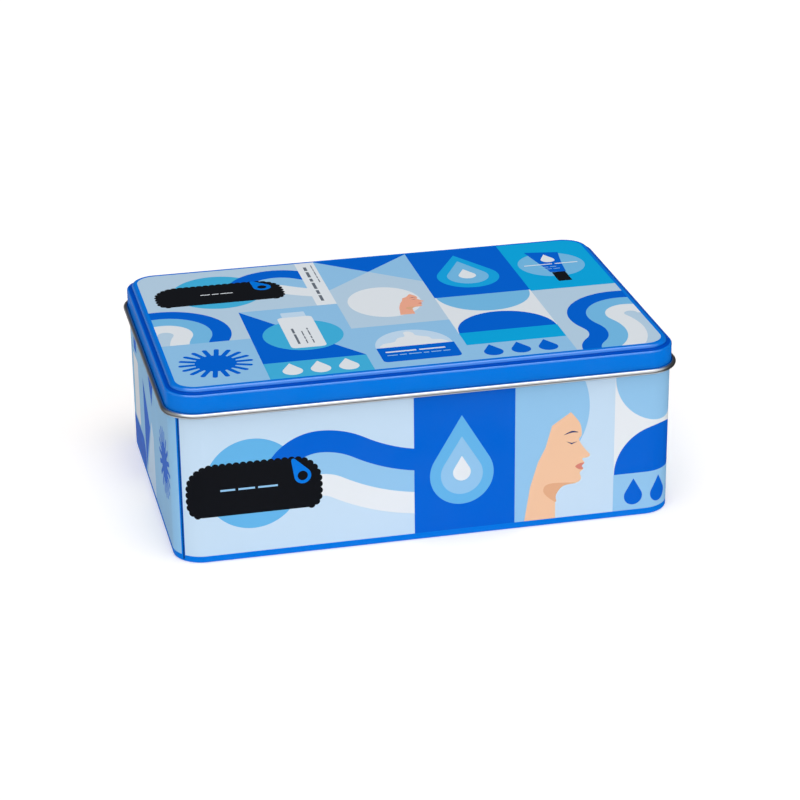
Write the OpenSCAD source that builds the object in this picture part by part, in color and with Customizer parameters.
// Rectangular slip-lid tin: a wrapped body wall, a hooked-in base panel and a pressed lid.
// +Z is up. The origin is the middle of the foot, on the surface that the tin stands on.
// X runs along the long side and Y from front to back.

/* [Body] */
// Length of the body along X, outside the sheet
body_l = 230; // [150:1:320]
// Width of the body along Y, outside the sheet
body_w = 150; // [100:1:220]
// Height of the closed tin, to the top of the lid's raised panel
tin_h = 83; // [50:0.1:140]
// Radius of the body's vertical corners, outside the sheet
corner_r = 13.5; // [12:0.5:30]
// Thickness of the tinplate
sheet = 0.3; // [0.2:0.05:0.35]
// Radius of the inward curl along the body's top edge
wall_curl_r = 1.1; // [1:0.1:1.4]
// Angle that the curl turns through
wall_curl_turn = 250; // [200:10:280]

/* [Foot and base] */
// Height of the hook that the wall's bottom edge forms
hook_h = 2; // [1.8:0.1:3]
// Width of the hook across the foot
hook_w = 2.4; // [2.2:0.1:3]
// Outer radius of the foot's two bends
foot_r = 0.8; // [0.6:0.1:1]
// Distance from the wall to the step in the base panel
base_step_in = 9; // [6:0.5:14]
// Height of the step in the base panel
base_step_h = 0.9; // [0.8:0.1:1.5]

/* [Side seam] */
// Angle from the front face round the front-left corner to the seam's outer line
seam_at = 48; // [30:1:65]
// Width of the folded lock seam inside the wall
seam_w = 4; // [3:0.5:5]
// Width of the line that the lock seam leaves outside
seam_line_w = 0.3; // [0.2:0.05:0.5]
// Depth of that line
seam_line_d = 0.1; // [0.05:0.05:0.15]

/* [Lid] */
// Gap between the body and the lid's skirt
lid_gap = 0.3; // [0.2:0.05:0.5]
// Height of the lid's rim above the middle of its rolled edge
skirt_h = 9.4; // [7:0.1:20]
// Radius of the rolled edge at the bottom of the skirt
bead_r = 1.2; // [1:0.1:1.6]
// Angle that the rolled edge turns through
bead_turn = 290; // [240:10:300]
// Height of the raised panel above the rim
panel_h = 2.2; // [2:0.1:3]
// Distance from the body's outline to the raised panel's flat
panel_in = 3.2; // [3:0.1:6]
// Radius of the shoulder around the raised panel
shoulder_r = 1.4; // [1.2:0.1:1.6]
// Radius of the bend from the rim into the skirt
rim_r = 0.8; // [0.6:0.1:1]

/* [Hidden] */
$fn = 96;
tiny = 0.01;
quarter = 90;
print_blue = "#0078e2";
bare_tin = "#c9cbce";
step_r = base_step_h / 2;
rim_z = tin_h - panel_h;
bead_z = rim_z - skirt_h;
cove_r = panel_h - shoulder_r;
bead_out = lid_gap + bead_r;
wall_top = rim_z - sheet - lid_gap;
curl_z = wall_top - wall_curl_r;
plate_z = hook_h;
seam_dir = 3 * quarter - seam_at;

// One sheet bend: the part of a ring of sheet between two angles, a0 to a1, anticlockwise.
module bend(r, a0, a1) {
    turn = a1 - a0;
    reach = r * 2;
    intersection() {
        difference() {
            circle(r);
            circle(r - sheet);
        }
        union() {
            for (a = [0 : quarter : turn - tiny]) {
                step = min(quarter, turn - a);
                polygon([
                    [0, 0],
                    reach * [cos(a0 + a), sin(a0 + a)],
                    reach * [cos(a0 + a + step / 2), sin(a0 + a + step / 2)],
                    reach * [cos(a0 + a + step), sin(a0 + a + step)]
                ]);
            }
        }
    }
}

// A straight run of sheet between two corners of its section.
module run(x0, y0, x1, y1) {
    translate([x0, y0]) square([x1 - x0, y1 - y0]);
}

// Sweeps a section around the rounded outline. The section's X is the distance outside
// the body's face, negative inwards, and its Y is the height.
module sweep() {
    straight_x = body_l / 2 - corner_r;
    straight_y = body_w / 2 - corner_r;
    for (side = [-1, 1]) {
        translate([side * straight_x, 0, 0])
            rotate([quarter, 0, side > 0 ? 0 : 2 * quarter])
                linear_extrude(2 * straight_y, center = true)
                    translate([corner_r, 0]) children();
        translate([0, side * straight_y, 0])
            rotate([quarter, 0, side * quarter])
                linear_extrude(2 * straight_x, center = true)
                    translate([corner_r, 0]) children();
    }
    for (corner = [[1, 1, 0], [-1, 1, 1], [-1, -1, 2], [1, -1, 3]]) {
        translate([corner[0] * straight_x, corner[1] * straight_y, 0])
            rotate([0, 0, corner[2] * quarter])
                rotate_extrude(angle = quarter)
                    translate([corner_r, 0]) children();
    }
}

// A flat rounded plate, inset from the body's outline.
module plate(inset, thickness) {
    half_x = body_l / 2 - inset;
    half_y = body_w / 2 - inset;
    r = corner_r - inset;
    linear_extrude(thickness) {
        square([2 * half_x, 2 * (half_y - r)], center = true);
        square([2 * (half_x - r), 2 * half_y], center = true);
        for (side_x = [-1, 1], side_y = [-1, 1]) {
            translate([side_x * (half_x - r), side_y * (half_y - r)]) circle(r);
        }
    }
}

// Section of the wall: top curl, straight sheet and the hook under the foot.
module wall_section() {
    translate([-wall_curl_r, curl_z]) bend(wall_curl_r, 0, wall_curl_turn);
    run(-sheet, foot_r, 0, curl_z);
    translate([-foot_r, foot_r]) bend(foot_r, 3 * quarter, 4 * quarter);
    run(-(hook_w - foot_r), 0, -foot_r, sheet);
    translate([-(hook_w - foot_r), foot_r]) bend(foot_r, 2 * quarter, 3 * quarter);
    run(-hook_w, foot_r, -hook_w + sheet, hook_h);
}

// Section of the base panel's edge: it hooks over the wall's up-turned edge.
module base_section() {
    hook_face = -hook_w + sheet;
    run(hook_face, foot_r, hook_face + sheet, plate_z);
    intersection() {
        translate([hook_face, plate_z]) circle(sheet);
        run(hook_face, plate_z, hook_face + sheet, plate_z + sheet);
    }
    run(-base_step_in, plate_z, hook_face, plate_z + sheet);
    translate([-base_step_in, plate_z + step_r + sheet / 2])
        bend(step_r + sheet / 2, 2 * quarter, 3 * quarter);
    translate([-base_step_in - 2 * step_r, plate_z + step_r + sheet / 2])
        bend(step_r + sheet / 2, 0, quarter);
}

// Section of the lid's edge: shoulder, cove, rim, skirt and the edge rolled outwards.
module lid_section() {
    translate([-panel_in, tin_h - shoulder_r]) bend(shoulder_r, 0, quarter);
    translate([-panel_in + shoulder_r + cove_r, rim_z + cove_r]) mirror([0, 1])
        bend(cove_r + sheet, quarter, 2 * quarter);
    run(-panel_in + shoulder_r + cove_r, rim_z - sheet, lid_gap + sheet - rim_r, rim_z);
    translate([lid_gap + sheet - rim_r, rim_z - rim_r]) bend(rim_r, 0, quarter);
    run(lid_gap, bead_z, lid_gap + sheet, rim_z - rim_r);
    translate([bead_out, bead_z]) bend(bead_r, 2 * quarter, 2 * quarter + bead_turn);
}

// A curved strip on the front-left corner: a part of a ring between two radii and two heights.
// It runs from the seam's direction towards the front, as far as its width along the outline.
module corner_strip(width, r_in, r_out, bottom, top) {
    translate([corner_r - body_l / 2, corner_r - body_w / 2, 0])
        rotate([0, 0, seam_dir])
            rotate_extrude(angle = width / corner_r * 2 * quarter / PI)
                translate([r_in, bottom]) square([r_out - r_in, top - bottom]);
}

module body_wall() {
    seam_bottom = hook_h + base_step_h;
    seam_top = curl_z - wall_curl_r - sheet;
    color(print_blue) difference() {
        union() {
            sweep() wall_section();
            corner_strip(seam_w, corner_r - 3 * sheet, corner_r - sheet / 2, seam_bottom, seam_top);
        }
        corner_strip(seam_line_w, corner_r - seam_line_d, corner_r + sheet, foot_r, curl_z);
    }
}

module base_panel() {
    color(bare_tin) {
        sweep() base_section();
        translate([0, 0, plate_z + base_step_h]) plate(base_step_in + 2 * step_r, sheet);
    }
}

module lid() {
    color(print_blue) {
        sweep() lid_section();
        translate([0, 0, tin_h - sheet]) plate(panel_in, sheet);
    }
}

body_wall();
base_panel();
lid();
